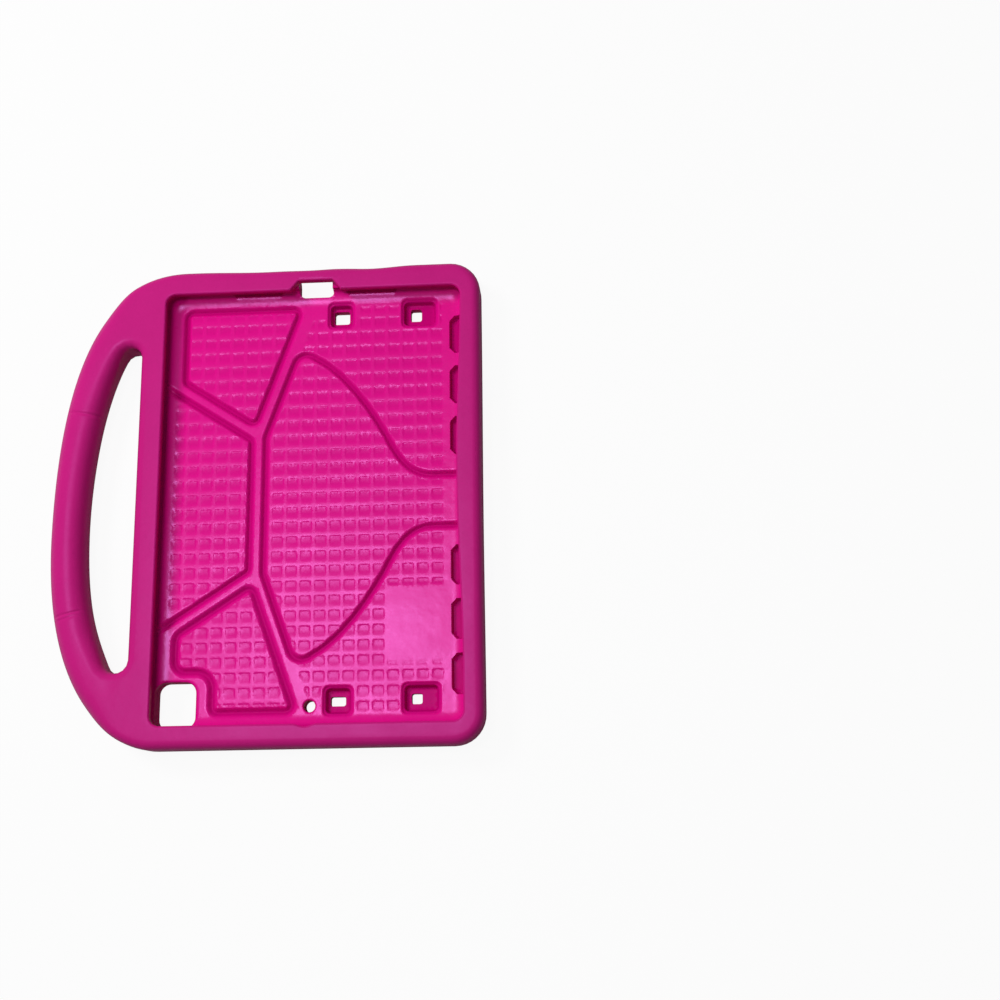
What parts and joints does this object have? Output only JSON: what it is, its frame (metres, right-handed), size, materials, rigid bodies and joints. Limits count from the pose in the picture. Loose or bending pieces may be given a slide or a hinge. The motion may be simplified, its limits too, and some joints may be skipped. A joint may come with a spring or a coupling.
{
  "type": "kids tablet case",
  "caption": "Thick one-piece foam case for a tablet, with a lipped pocket, a ribbed and grooved floor and a rounded carrying handle along one long side.",
  "frame": {"origin": "on the flat back, under the middle of the tablet's pocket", "axes": "+X away from the handle across the tablet's short side, +Y along the tablet towards its charging port, +Z out of the pocket's mouth"},
  "size_m": [0.243, 0.2727, 0.022],
  "materials": {
    "pink_foam": "satin moulded foam with a fine pebbled skin"
  },
  "bodies": {
    "root": {"case": "pink_foam"}
  },
  "joints": []
}
